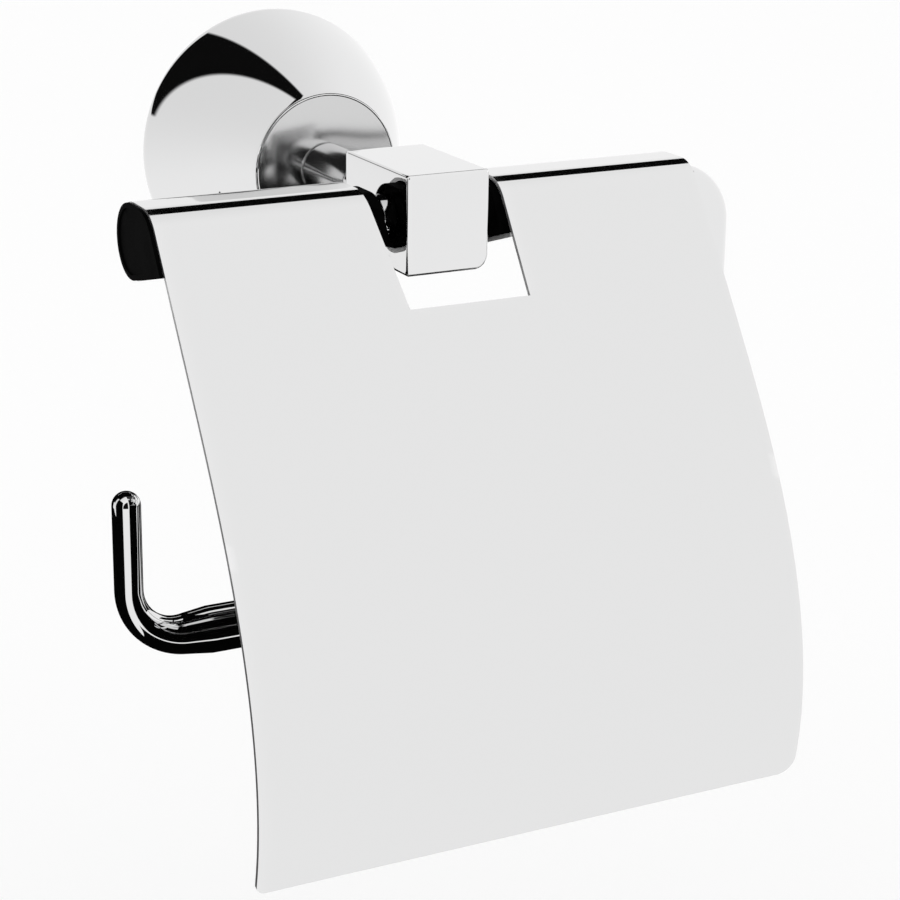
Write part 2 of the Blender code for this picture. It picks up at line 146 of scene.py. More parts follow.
# Studio
LIGHT_STRENGTH = 1.02
FLOOR_DROP = 0.16
FLOOR_RADIUS = 6.0
FLAG_BLACK = (0.004, 0.004, 0.004, 1.0)
SHADE_SIDE = (-0.45, 0.54, 0.71)
SHADE_LIMIT, SHADE_SOFTNESS, SHADE_DEPTH = 0.62, 0.36, 0.15

# Sockets of a colour Mix node
FIRST_COLOUR, SECOND_COLOUR, MIXED_COLOUR = 6, 7, 2


# ---------------------------------------------------------------- camera and studio

def aim_camera():
    """Looks from the left, a little above, at the middle of the holder."""
    azimuth, elevation, roll = -25.5, 17.2, 0.2
    target = Vector((0.0, -64.4, -50.0)) * MM
    distance = 548.8 * MM
    a, e = math.radians(azimuth), math.radians(elevation)
    back = Vector((math.sin(a) * math.cos(e), -math.cos(a) * math.cos(e), math.sin(e)))
    right = Vector((math.cos(a), math.sin(a), 0.0))
    turn = Matrix((right, back.cross(right), back)).transposed().to_4x4()
    data = bpy.data.cameras.new("view")
    data.sensor_width = 36.0
    data.lens = 91.2
    data.shift_x = 0.0817
    data.shift_y = -0.0607
    data.clip_start = 0.01
    data.clip_end = 20.0
    camera = bpy.data.objects.new("view", data)
    camera.matrix_world = (Matrix.Translation(target + back * distance) @ turn
                           @ Matrix.Rotation(math.radians(roll), 4, "Z"))
    bpy.context.collection.objects.link(camera)
    bpy.context.scene.camera = camera


def add_node(tree, kind, **settings):
    """Adds a shader node with the given settings."""
    node = tree.nodes.new(kind)
    for key, value in settings.items():
        setattr(node, key, value)
    return node


def beyond(tree, direction, normal, limit, softness=0.02):
    """1 where the direction leans towards a normal by more than a limit, 0 elsewhere."""
    lean = add_node(tree, "ShaderNodeVectorMath", operation="DOT_PRODUCT")
    lean.inputs[1].default_value = Vector(normal).normalized()
    tree.links.new(direction, lean.inputs[0])
    step = add_node(tree, "ShaderNodeMapRange", interpolation_type="SMOOTHSTEP")
    step.inputs["From Min"].default_value = limit - softness
    step.inputs["From Max"].default_value = limit + softness
    tree.links.new(lean.outputs["Value"], step.inputs["Value"])
    return step.outputs["Result"]


def joined(tree, first, second, operation="MULTIPLY"):
    """Two values put together by one Math node."""
    node = add_node(tree, "ShaderNodeMath", operation=operation)
    tree.links.new(first, node.inputs[0])
    tree.links.new(second, node.inputs[1])
    return node.outputs[0]


# Black flags far out in the room: each is the part of the sky on the positive side of all
# its planes, given as (normal, limit). The first hangs high at the back left, the second
# round the camera.
SKY_FLAGS = (
    (((0.545, 0.839, 0.0), 0.0), ((-0.927, -0.375, 0.08), 0.0), ((0.0, 0.0, 1.0), 0.18)),
    (((-1.0, 0.0, 0.0), 0.05), ((0.0, -1.0, 0.0), 0.74), ((0.0, 0.0, 1.0), -0.12)),
)


def light_room():
    """An even white room; polished metal also sees black flags and a soft dark side in it."""
    world = bpy.data.worlds.new("studio")
    bpy.context.scene.world = world
    world.use_nodes = True
    tree = world.node_tree
    tree.nodes.clear()
    direction = add_node(tree, "ShaderNodeTexCoord").outputs["Generated"]
    black = None
    for planes in SKY_FLAGS:
        flag = None
        for normal, limit in planes:
            side = beyond(tree, direction, normal, limit)
            flag = side if flag is None else joined(tree, flag, side)
        black = flag if black is None else joined(tree, black, flag, "MAXIMUM")
    shade = beyond(tree, direction, SHADE_SIDE, SHADE_LIMIT, SHADE_SOFTNESS)
    dim = add_node(tree, "ShaderNodeMath", operation="MULTIPLY")
    dim.inputs[1].default_value = SHADE_DEPTH
    tree.links.new(shade, dim.inputs[0])
    black = joined(tree, black, dim.outputs[0], "MAXIMUM")
    glossy = add_node(tree, "ShaderNodeLightPath").outputs["Is Glossy Ray"]
    black = joined(tree, black, glossy)
    colour = add_node(tree, "ShaderNodeMix", data_type="RGBA")
    colour.inputs[FIRST_COLOUR].default_value = (1.0, 1.0, 1.0, 1.0)
    colour.inputs[SECOND_COLOUR].default_value = FLAG_BLACK
    tree.links.new(black, colour.inputs["Factor"])
    light = add_node(tree, "ShaderNodeBackground")
    light.inputs["Strength"].default_value = LIGHT_STRENGTH
    tree.links.new(colour.outputs[MIXED_COLOUR], light.inputs["Color"])
    out = add_node(tree, "ShaderNodeOutputWorld")
    tree.links.new(light.outputs[0], out.inputs[0])
    bpy.context.scene.view_settings.view_transform = "Standard"


def plain_material(name, colour, roughness, specular=0.5):
    """A material for the studio's own things."""
    material = bpy.data.materials.new(name)
    material.use_nodes = True
    shader = material.node_tree.nodes["Principled BSDF"]
    shader.inputs["Base Color"].default_value = (*colour, 1.0)
    shader.inputs["Roughness"].default_value = roughness
    shader.inputs["Specular IOR Level"].default_value = specular
    return material


def lay_floor():
    """A pale floor well below the cover; polished metal doesn't see it."""
    bm = bmesh.new()
    bmesh.ops.create_circle(bm, cap_ends=True, segments=96, radius=FLOOR_RADIUS)
    mesh = bpy.data.meshes.new("floor")
    bm.to_mesh(mesh)
    bm.free()
    floor = bpy.data.objects.new("floor", mesh)
    floor.location = (0.0, 0.0, COVER_LOW.z - FLOOR_DROP)
    bpy.context.collection.objects.link(floor)
    mesh.materials.append(plain_material("pale_floor", (0.97, 0.97, 0.97), 0.95))
    floor.visible_glossy = False


def stand_flag(name, centre, width, height, turn):
    """A black card that only polished metal sees; it casts no shade."""
    bm = bmesh.new()
    bmesh.ops.create_grid(bm, x_segments=1, y_segments=1, size=0.5)
    mesh = bpy.data.meshes.new(name)
    bm.to_mesh(mesh)
    bm.free()
    card = bpy.data.objects.new(name, mesh)
    card.matrix_world = (Matrix.Translation(centre) @ turn
                         @ Matrix.Diagonal((width, height, 1.0, 1.0)))
    bpy.context.collection.objects.link(card)
    mesh.materials.append(FLAG_CLOTH)
    card.visible_camera = False
    card.visible_diffuse = False
    card.visible_shadow = False


UPRIGHT = Matrix.Rotation(math.radians(90.0), 4, "X")
SIDEWAYS = Matrix.Rotation(math.radians(90.0), 4, "Z") @ UPRIGHT
LEVEL = Matrix.Identity(4)
FLAG_CLOTH = plain_material("flag_cloth", (0.002, 0.002, 0.002), 1.0, 0.0)

# Cards near the holder, as (name, centre, width, height, turn). Those behind, beside and
# below it darken the bar's upturned tip and lower leg; the top one draws the dark line
# along the rolled edge.
CARDS = (
    ("low_back_flag", (0.235, 0.012, -0.40), 0.79, 0.40, UPRIGHT),
    ("back_flag", (-0.03, 0.012, -0.141), 0.26, 0.118, UPRIGHT),
    ("rear_flag", (-0.02, 0.012, -0.059), 0.08, 0.046, UPRIGHT),
    ("left_flag", (-0.16, -0.079, -0.246), 0.182, 0.304, SIDEWAYS),
    ("side_flag", (-0.16, -0.115, -0.033), 0.11, 0.126, SIDEWAYS),
    ("right_flag", (0.125, -0.0665, -0.14), 0.157, 0.12, SIDEWAYS),
    ("low_flag", (0.02, -0.0885, -0.135), 0.21, 0.117, LEVEL),
    ("under_flag", (-0.01, -0.035, -0.042), 0.09, 0.05, LEVEL),
    ("tip_flag", (-0.0825, -0.0365, -0.0575), 0.075, 0.055, UPRIGHT),
    ("tip_roof", (-0.0725, -0.0620, -0.030), 0.055, 0.046, LEVEL),
    ("top_flag", (0.004, -0.0620, 0.040), 0.228, 0.036, LEVEL),
)

aim_camera()
light_room()
lay_floor()
for card in CARDS:
    stand_flag(*card)


# ---------------------------------------------------------------- finishes

def group_with(name, inputs, outputs):
    """An empty shader group with float inputs (name, value) and named outputs."""
    group = bpy.data.node_groups.new(name, "ShaderNodeTree")
    for label, value in inputs:
        socket = group.interface.new_socket(label, in_out="INPUT", socket_type="NodeSocketFloat")
        socket.default_value = value
    for label in outputs:
        group.interface.new_socket(label, in_out="OUTPUT", socket_type="NodeSocketFloat")
    return group, group.nodes.new("NodeGroupInput"), group.nodes.new("NodeGroupOutput")


def spread(tree, value, low, high):
    """Maps 0..1 to the range between two sockets."""
    node = add_node(tree, "ShaderNodeMapRange")
    tree.links.new(value, node.inputs["Value"])
    tree.links.new(low, node.inputs["To Min"])
    tree.links.new(high, node.inputs["To Max"])
    return node.outputs["Result"]


def buffing_group():
    """Faint clouds and long wiping streaks left by the last buffing of a bright surface."""
    group, given, result = group_with(
        "buffing_marks", [("Cloud Scale", 60.0), ("Streak Scale", 900.0), ("Low", 0.02),
                          ("High", 0.05)], ["Roughness", "Height"])
    place = add_node(group, "ShaderNodeTexCoord").outputs["Object"]
    cloud = add_node(group, "ShaderNodeTexNoise")
    cloud.inputs["Detail"].default_value = 4.0
    group.links.new(place, cloud.inputs["Vector"])
    group.links.new(given.outputs["Cloud Scale"], cloud.inputs["Scale"])
    squeeze = add_node(group, "ShaderNodeMapping")
    squeeze.inputs["Scale"].default_value = (0.06, 1.0, 1.0)
    squeeze.inputs["Rotation"].default_value = (0.0, 0.0, 0.35)
    group.links.new(place, squeeze.inputs["Vector"])
    streak = add_node(group, "ShaderNodeTexNoise")
    streak.inputs["Detail"].default_value = 3.0
    group.links.new(squeeze.outputs["Vector"], streak.inputs["Vector"])
    group.links.new(given.outputs["Streak Scale"], streak.inputs["Scale"])
    both = joined(group, cloud.outputs["Fac"], streak.outputs["Fac"])
    rough = spread(group, both, given.outputs["Low"], given.outputs["High"])
    group.links.new(rough, result.inputs["Roughness"])
    group.links.new(streak.outputs["Fac"], result.inputs["Height"])
    return group


def grain_group():
    """A fine irregular grain with larger blotches, for moulded plastic and zinc."""
    group, given, result = group_with(
        "surface_grain", [("Grain Scale", 3000.0), ("Blotch Scale", 200.0), ("Low", 0.3),
                          ("High", 0.5)], ["Roughness", "Blotch", "Height"])
    place = add_node(group, "ShaderNodeTexCoord").outputs["Object"]
    grain = add_node(group, "ShaderNodeTexNoise")
    grain.inputs["Detail"].default_value = 2.0
    group.links.new(place, grain.inputs["Vector"])
    group.links.new(given.outputs["Grain Scale"], grain.inputs["Scale"])
    blotch = add_node(group, "ShaderNodeTexVoronoi")
    group.links.new(place, blotch.inputs["Vector"])
    group.links.new(given.outputs["Blotch Scale"], blotch.inputs["Scale"])
    tone = add_node(group, "ShaderNodeSeparateColor")
    group.links.new(blotch.outputs["Color"], tone.inputs["Color"])
    rough = spread(group, grain.outputs["Fac"], given.outputs["Low"], given.outputs["High"])
    group.links.new(rough, result.inputs["Roughness"])
    group.links.new(tone.outputs["Red"], result.inputs["Blotch"])
    group.links.new(grain.outputs["Fac"], result.inputs["Height"])
    return group


def make_highlight_haze_mask():
    """1 along convex edges: thin plating there dulls to a haze, and a painted highlight lightens
    them.
    """
    group, given, result = group_with("worn_edges", [("Sharpness", 6.0)], ["Mask"])
    form = add_node(group, "ShaderNodeNewGeometry").outputs["Pointiness"]
    lift = add_node(group, "ShaderNodeMath", operation="SUBTRACT")
    lift.inputs[1].default_value = 0.5
    group.links.new(form, lift.inputs[0])
    gain = joined(group, lift.outputs[0], given.outputs["Sharpness"])
    clip = add_node(group, "ShaderNodeClamp")
    group.links.new(gain, clip.inputs["Value"])
    group.links.new(clip.outputs["Result"], result.inputs["Mask"])
    return group


BUFFING = buffing_group()
GRAIN = grain_group()
EDGES = make_highlight_haze_mask()


def place_group(tree, group, **values):
    """Places a shader group and sets its inputs; an underscore stands for a space."""
    node = add_node(tree, "ShaderNodeGroup", node_tree=group)
    for label, value in values.items():
        node.inputs[label.replace("_", " ")].default_value = value
    return node


def new_finish(name):
    """A material, its node tree and its shader."""
    material = bpy.data.materials.new(name)
    material.use_nodes = True
    tree = material.node_tree
    return material, tree, tree.nodes["Principled BSDF"]


def relief(tree, shader, height, distance, strength):
    """Bumps the surface by a height of 0..1 over a distance."""
    bump = add_node(tree, "ShaderNodeBump")
    bump.inputs["Distance"].default_value = distance
    bump.inputs["Strength"].default_value = strength
    tree.links.new(height, bump.inputs["Height"])
    tree.links.new(bump.outputs["Normal"], shader.inputs["Normal"])


def two_tone(tree, shader, mask, low, high):
    """Colours the surface from one tone to another along a mask."""
    tone = add_node(tree, "ShaderNodeMix", data_type="RGBA")
    tone.inputs[FIRST_COLOUR].default_value = (*low, 1.0)
    tone.inputs[SECOND_COLOUR].default_value = (*high, 1.0)
    tree.links.new(mask, tone.inputs["Factor"])
    tree.links.new(tone.outputs[MIXED_COLOUR], shader.inputs["Base Color"])


def bright_finish(name, tone, highlight_tone, *, low, high, streaks, edge_haze=0.1):
    """Mirror plating; faint buffing marks vary its gloss, and its edges are hazier and carry a
    painted highlight.
    """
    material, tree, shader = new_finish(name)
    shader.inputs["Metallic"].default_value = 1.0
    marks = place_group(tree, BUFFING, Cloud_Scale=70.0, Streak_Scale=streaks, Low=low, High=high)
    edges = place_group(tree, EDGES, Sharpness=5.0)
    # Painted highlight: convex edges take the lighter edge tone.
    two_tone(tree, shader, edges.outputs["Mask"], tone, highlight_tone)
    haze = add_node(tree, "ShaderNodeMath", operation="MULTIPLY_ADD")
    haze.inputs[1].default_value = edge_haze
    tree.links.new(edges.outputs["Mask"], haze.inputs[0])
    tree.links.new(marks.outputs["Roughness"], haze.inputs[2])
    tree.links.new(haze.outputs[0], shader.inputs["Roughness"])
    relief(tree, shader, marks.outputs["Height"], 0.002 * MM, 0.02)
    return material


def zinc_finish():
    """Zinc-plated steel, spangled and half dull."""
    material, tree, shader = new_finish("zinc_steel")
    shader.inputs["Metallic"].default_value = 1.0
    grain = place_group(tree, GRAIN, Grain_Scale=1800.0, Blotch_Scale=420.0, Low=0.22, High=0.48)
    two_tone(tree, shader, grain.outputs["Blotch"], (0.46, 0.47, 0.49), (0.66, 0.67, 0.68))
    tree.links.new(grain.outputs["Roughness"], shader.inputs["Roughness"])
    relief(tree, shader, grain.outputs["Height"], 0.02 * MM, 0.25)
    return material


def nylon_finish():
    """Black moulded nylon with a fine satin grain."""
    material, tree, shader = new_finish("black_nylon")
    shader.inputs["Specular IOR Level"].default_value = 0.002
    grain = place_group(tree, GRAIN, Grain_Scale=4200.0, Blotch_Scale=300.0, Low=0.34, High=0.52)
    two_tone(tree, shader, grain.outputs["Blotch"],
             (0.0010, 0.0010, 0.0010), (0.0022, 0.0022, 0.0022))
    tree.links.new(grain.outputs["Roughness"], shader.inputs["Roughness"])
    relief(tree, shader, grain.outputs["Height"], 0.02 * MM, 0.2)
    return material


# Each finish's second, lighter tone is a painted highlight on its convex edges.
CHROME = bright_finish("chrome", (0.775, 0.775, 0.777), (0.90, 0.90, 0.90),
                       low=0.012, high=0.045, streaks=700.0)
# Painted shade: a darker copy of the chrome for the rosette's front disc, standing in for the grey
# it reflects.
SHADED_DISC_CHROME = bright_finish("darker_disc_chrome", (0.56, 0.56, 0.562), (0.70, 0.70, 0.70),
                            low=0.10, high=0.15, streaks=700.0)
CUT_EDGE = bright_finish("cut_edge", (0.70, 0.70, 0.70), (0.78, 0.78, 0.78),
                         low=0.50, high=0.58, streaks=900.0)
POLISHED = bright_finish("polished_sheet", (0.765, 0.765, 0.766), (0.92, 0.92, 0.92),
                         low=0.03, high=0.08, streaks=420.0, edge_haze=0.4)
ZINC = zinc_finish()
NYLON = nylon_finish()


# ---------------------------------------------------------------- shaping tools

def add_piece(name, bm, material, body, slot, *nodes):
    """Makes a smooth-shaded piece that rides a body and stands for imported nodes."""
    bmesh.ops.recalc_face_normals(bm, faces=bm.faces)
    mesh = bpy.data.meshes.new(name)
    bm.to_mesh(mesh)
    bm.free()
    mesh.shade_smooth()
    mesh.materials.append(material)
    piece = bpy.data.objects.new(name, mesh)
    bpy.context.collection.objects.link(piece)
    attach(piece, body)
    if nodes:
        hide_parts(*nodes)
    return piece


def even_flats(piece):
    """Keeps broad faces flat and lets only the rounded edges shade."""
    weigh = piece.modifiers.new("even_flats", "WEIGHTED_NORMAL")
    weigh.mode = "FACE_AREA"
    weigh.weight = 100
    weigh.keep_sharp = True


def arc(centre, radius, start, end, steps):
    """Points along an arc, from a start to an end angle in degrees."""
    angles = [math.radians(start + (end - start) * i / steps) for i in range(steps + 1)]
    return [(centre[0] + radius * math.cos(a), centre[1] + radius * math.sin(a)) for a in angles]


def rounded(points, radius, steps=4):
    """A closed outline with each corner replaced by an arc-like curve through its edges."""
    count, smooth = len(points), []
    for i, point in enumerate(points):
        here = Vector(point)
        to_last = Vector(points[i - 1]) - here
        to_next = Vector(points[(i + 1) % count]) - here
        reach = min(radius, 0.45 * to_last.length, 0.45 * to_next.length)
        start, end = here + to_last.normalized() * reach, here + to_next.normalized() * reach
        for k in range(steps + 1):
            t = k / steps
            smooth.append(tuple(start * (1 - t) ** 2 + here * 2 * t * (1 - t) + end * t ** 2))
    return smooth


def turned(profile, axis, origin, steps=96, closed=True):
    """Spins (radius, height) points round an axis through the origin; height runs along it."""
    bm = bmesh.new()
    verts = [bm.verts.new((r, 0.0, h)) for r, h in profile]
    follow = verts[1:] + verts[:1] if closed else verts[1:]
    edges = [bm.edges.new((a, b)) for a, b in zip(verts, follow)]
    bmesh.ops.spin(bm, geom=verts + edges, axis=(0, 0, 1), cent=(0, 0, 0),
                   angle=math.tau, steps=steps, use_duplicate=False)
    bmesh.ops.remove_doubles(bm, verts=bm.verts, dist=0.0005 * MM)
    bmesh.ops.dissolve_degenerate(bm, edges=bm.edges, dist=0.0005 * MM)
    turn = Vector((0, 0, 1)).rotation_difference(Vector(axis)).to_matrix().to_4x4()
    bmesh.ops.transform(bm, matrix=Matrix.Translation(origin) @ turn, verts=bm.verts)
    return bm


def drilled(piece, bm):
    """Applies a cut to a piece's mesh, then drops the cutter."""
    mesh = bpy.data.meshes.new("drill")
    bmesh.ops.recalc_face_normals(bm, faces=bm.faces)
    bm.to_mesh(mesh)
    bm.free()
    drill = bpy.data.objects.new("drill", mesh)
    bpy.context.collection.objects.link(drill)
    cut = piece.modifiers.new("cut", "BOOLEAN")
    cut.operation = "DIFFERENCE"
    cut.solver = "EXACT"
    cut.object = drill
    bpy.context.view_layer.update()
    evaluated = piece.evaluated_get(bpy.context.evaluated_depsgraph_get())
    result = bpy.data.meshes.new_from_object(evaluated)
    piece.modifiers.remove(cut)
    piece.data = result
    bpy.data.objects.remove(drill, do_unlink=True)


def slab(outline, place, low, high, edge, steps=3):
    """Extrudes a flat outline between two levels and rounds both rims."""
    bm = bmesh.new()
    face = bm.faces.new([bm.verts.new((a, b, low)) for a, b in outline])
    grown = bmesh.ops.extrude_face_region(bm, geom=[face])
    moved = [v for v in grown["geom"] if isinstance(v, bmesh.types.BMVert)]
    bmesh.ops.translate(bm, verts=moved, vec=(0.0, 0.0, high - low))
    rims = [e for e in bm.edges if abs(e.verts[0].co.z - e.verts[1].co.z) < 1e-9]
    bmesh.ops.bevel(bm, geom=rims, offset=edge, segments=steps, affect="EDGES", profile=0.5,
                    clamp_overlap=True)
    bmesh.ops.transform(bm, matrix=place, verts=bm.verts)
    return bm


# Places for slabs: an outline (y, z) whose levels run along +X from the hinge, and an
# outline (x, z) whose levels run along +Y
ALONG_X = Matrix(((0, 0, 1, 0), (1, 0, 0, HINGE.y), (0, 1, 0, HINGE.z), (0, 0, 0, 1)))
ALONG_Y = Matrix(((1, 0, 0, 0), (0, 0, 1, 0), (0, 1, 0, 0), (0, 0, 0, 1)))


# ---------------------------------------------------------------- rosette and post

def cone_line(inset, start, end, steps):
    """(radius, height) points up the rosette's domed flank, between two heights."""
    wide, shoulder = ROSETTE_HIGH.x, ROSETTE_HIGH.y - ROSETTE_LOW.y - DISC_EDGE
    points = []
    for i in range(steps + 1):
        height = start + (end - start) * i / steps
        share = (height - ROSETTE_RIM) / (shoulder - ROSETTE_RIM)
        bulge = 4.0 * ROSETTE_BULGE * share * (1.0 - share)
        points.append((wide + (DISC_RADIUS - wide) * share + bulge - inset, height))
    return points


def grub_hole(y, z):
    """The cutter for a grub screw's hole, upwards from a point below the surface."""
    return turned([(0.0, 0.0), (GRUB_HOLE_RADIUS, 0.0), (GRUB_HOLE_RADIUS, GRUB_HOLE_DEPTH),
                   (0.0, GRUB_HOLE_DEPTH)], (0, 0, 1), (0.0, y, z), 48)


def make_rosette():
    """A thin domed cone with a soft rim, open at the back, and its flat front disc."""
    depth, wide, seam = ROSETTE_HIGH.y - ROSETTE_LOW.y, ROSETTE_HIGH.x, DISC_RADIUS - DISC_SEAM
    outwards, back = (0, -1, 0), (0.0, ROSETTE_HIGH.y, 0.0)
    rim = [(wide - ROSETTE_RIM_EDGE, 0.0), (wide - 0.1 * MM, 0.1 * MM), (wide, ROSETTE_RIM_EDGE)]
    flank = cone_line(0.0, ROSETTE_RIM, depth - DISC_EDGE, 64)
    brow = arc((DISC_RADIUS - DISC_EDGE, depth - DISC_EDGE), DISC_EDGE, 20, 90, 6)
    seat = [(seam, depth), (seam, depth - SHELL)]
    inner = cone_line(SHELL, depth - SHELL, 0.0, 48)
    bm = turned(rim + flank + brow + seat + inner, outwards, back, 160)
    rosette = add_piece("rosette_shell", bm, CHROME, "root", "chrome", "rosette")
    low, high = corners("rosette_grub_screw")
    drilled(rosette, grub_hole((low.y + high.y) / 2, -ROSETTE_HIGH.x - 4.0 * MM))
    even_flats(rosette)
    face = [(JOURNAL_RADIUS, depth - SHELL), (seam, depth - SHELL), (seam, depth),
            (JOURNAL_RADIUS, depth)]
    bm = turned(face, outwards, back, 160)
    # The front disc takes the darker chrome copy, a painted shade.
    even_flats(add_piece("rosette_face", bm, SHADED_DISC_CHROME, "root", "chrome", "rosette"))


def make_post():
    """A round bar with its end edges broken."""
    radius, length = POST_HIGH.x, POST_HIGH.y - POST_LOW.y
    profile = [(0.0, 0.0), (radius - POST_EDGE, 0.0), (radius, POST_EDGE),
               (radius, length - POST_EDGE), (radius - POST_EDGE, length), (0.0, length)]
    bm = turned(rounded(profile, 0.2 * MM, 3), (0, 1, 0), (0.0, POST_LOW.y, 0.0), 128)
    even_flats(add_piece("post_bar", bm, CHROME, "root", "chrome", "post"))


# ---------------------------------------------------------------- arm block

def journal_drill(x, reach):
    """The cutter for the bore round the bar's journal, centred on x."""
    bore = JOURNAL_RADIUS + GAP
    return turned([(0, -reach), (bore, -reach), (bore, reach), (0, reach)], (1, 0, 0),
                  (x, HINGE.y, HINGE.z), 64)


def make_arm():
    """A square block with soft edges; its lower right edge is much rounder.

    Cuts in its faces a little way in keep the painted edge highlight and the edge haze close to
    the edges.
    """
    w, h, small, large = ARM_HIGH.x, ARM_HIGH.z, ARM_EDGE, ARM_ROUND_EDGE
    outline = (arc((w - small, h - small), small, 0, 90, 5)
               + arc((-w + small, h - small), small, 90, 180, 5)
               + arc((-w + small, -h + small), small, 180, 270, 5)
               + arc((w - large, -h + large), large, 270, 360, 14))
    bm = slab(outline, ALONG_Y, ARM_LOW.y, ARM_HIGH.y, ARM_END_EDGE, 4)
    middle = (ARM_LOW + ARM_HIGH) / 2
    for axis in range(3):
        reach = (ARM_HIGH[axis] - ARM_LOW[axis]) / 2 - ARM_BORDER
        for side in (-1, 1):
            normal, point = Vector((0.0, 0.0, 0.0)), middle.copy()
            normal[axis] = 1.0
            point[axis] += side * reach
            bmesh.ops.bisect_plane(bm, geom=bm.verts[:] + bm.edges[:] + bm.faces[:], dist=1e-7,
                                   plane_co=point, plane_no=normal)
    arm = add_piece("arm_block", bm, CHROME, "root", "chrome", "arm")
    drilled(arm, journal_drill(0.0, 2 * w))
    drilled(arm, grub_hole(HINGE.y, -h - 2 * MM))
    even_flats(arm)


def make_spacers():
    """Two short sleeves on the journal, one each side of the block."""
    inner, outer = JOURNAL_RADIUS + GAP, SPACER_HIGH.y - HINGE.y
    low, high = SPACER_LOW.x, SPACER_HIGH.x
    profile = rounded([(inner, low), (outer, low), (outer, high), (inner, high)], SPACER_EDGE, 4)
    for name, side in (("spacer_left", -1), ("spacer_right", 1)):
        bm = turned(profile, (side, 0, 0), HINGE, 72)
        even_flats(add_piece(name + "_ring", bm, CHROME, "root", "chrome", name))


# ---------------------------------------------------------------- roll bar

def bar_route():
    """(x, z, radius) down the bar's centre line, from the hinge journal to the tip."""
    j, r, soft, end = JOURNAL_RADIUS, BAR_RADIUS, SHOULDER_EDGE, JOURNAL_END_X
    bottom = BAR_LOW.z + BAR_RADIUS
    route = [(end, HINGE.z, j - JOURNAL_EDGE), (end + JOURNAL_EDGE, HINGE.z, j),
             (SHOULDER_X - 0.02 * MM, HINGE.z, j)]
    for a in range(0, 91, 15):
        turn = math.radians(a)
        route.append((SHOULDER_X + soft * (1 - math.cos(turn)), HINGE.z,
                      r - soft + soft * math.sin(turn)))
    top = arc((UPRIGHT_X - TOP_BEND, HINGE.z - TOP_BEND), TOP_BEND, 90, 0, BEND_STEPS)
    low = arc((UPRIGHT_X - LOW_BEND, bottom + LOW_BEND), LOW_BEND, 0, -90, BEND_STEPS)
    route += [(x, z, r) for x, z in top + low]
    start_x = TIP_X + LOW_BEND
    tip_z = TIP_TOP_Z - TIP_RADIUS
    hook = [(start_x + TIP_TAPER * (1 - i / 6), bottom) for i in range(7)]
    hook += arc((start_x, bottom + LOW_BEND), LOW_BEND, 270, 180, HOOK_STEPS)[1:]
    hook += [(TIP_X, bottom + LOW_BEND + (tip_z - bottom - LOW_BEND) * i / 8)
             for i in range(1, 9)]
    lengths = [0.0]
    for a, b in zip(hook, hook[1:]):
        lengths.append(lengths[-1] + math.dist(a, b))
    taper = TIP_TAPER + LOW_BEND * math.pi / 2
    for (x, z), length in zip(hook, lengths):
        share = min(1.0, length / taper)
        ease = math.sin(math.pi / 2 * share)
        route.append((x, z, r + (TIP_RADIUS - r) * ease))
    for a in range(8, 89, 8):
        turn = math.radians(a)
        route.append((TIP_X, tip_z + TIP_RADIUS * math.sin(turn), TIP_RADIUS * math.cos(turn)))
    return route


def make_bar(sides=72):
    """Rings round the centre line, thick through the bends and thinner at the tip."""
    route = bar_route()
    bm = bmesh.new()
    rings, side = [], Vector((0.0, 0.0, 1.0))
    depth = Vector((0.0, 1.0, 0.0))
    for i, (x, z, radius) in enumerate(route):
        before, after = route[max(i - 1, 0)], route[min(i + 1, len(route) - 1)]
        run = Vector((after[0] - before[0], 0.0, after[1] - before[1]))
        if run.length > 1e-7:
            side = run.normalized().cross(depth)
        ring = []
        for k in range(sides):
            a = math.tau * k / sides
            offset = side * math.cos(a) + depth * math.sin(a)
            ring.append(bm.verts.new(Vector((x, HINGE.y, z)) + offset * radius))
        rings.append(ring)
    for lower, upper in zip(rings, rings[1:]):
        for k in range(sides):
            n = (k + 1) % sides
            bm.faces.new((lower[k], lower[n], upper[n], upper[k]))
    bm.faces.new(rings[0])
    bm.faces.new(rings[-1])
    bar = add_piece("roll_bar_bent", bm, CHROME, "root", "chrome", "roll_bar")
    bar.data.set_sharp_from_angle(angle=math.radians(50.0))


# ---------------------------------------------------------------- cover

def flap_angle(run):
    """How far the flap leans forwards at a distance below the brow, in radians."""
    past = max(0.0, run - STRAIGHT_RUN)
    return math.radians(LEAN - LEAN_FALL * past * past)


def flap_point(run, steps=240):
    """Outer face of the flap at a distance below the brow, relative to the hinge."""
    lean = math.radians(LEAN)
    y = -TOP_RUN - BROW_RADIUS * math.cos(lean)
    z = ROLL_RADIUS - BROW_RADIUS + BROW_RADIUS * math.sin(lean)
    step = run / steps
    for i in range(steps):
        angle = flap_angle((i + 0.5) * step)
        y -= step * math.sin(angle)
        z -= step * math.cos(angle)
    return y, z


def flap_runs():
    """Where the flap's rows lie: even, with one on the notch's edge and more at the corners."""
    corner = FLAP_LENGTH - CORNER_RIGHT
    runs = {NOTCH_RUN * i / NOTCH_ROWS for i in range(NOTCH_ROWS + 1)}
    runs |= {NOTCH_RUN + (corner - NOTCH_RUN) * i / FLAP_ROWS for i in range(FLAP_ROWS + 1)}
    for radius in (CORNER_LEFT, CORNER_RIGHT):
        runs |= {FLAP_LENGTH - radius + radius * math.sin(math.radians(a))
                 for a in range(0, 91, 9)}
    ordered, last = [], -1.0
    for run in sorted(runs):
        if run - last > 0.02 * MM:
            ordered.append(run)
            last = run
    return ordered


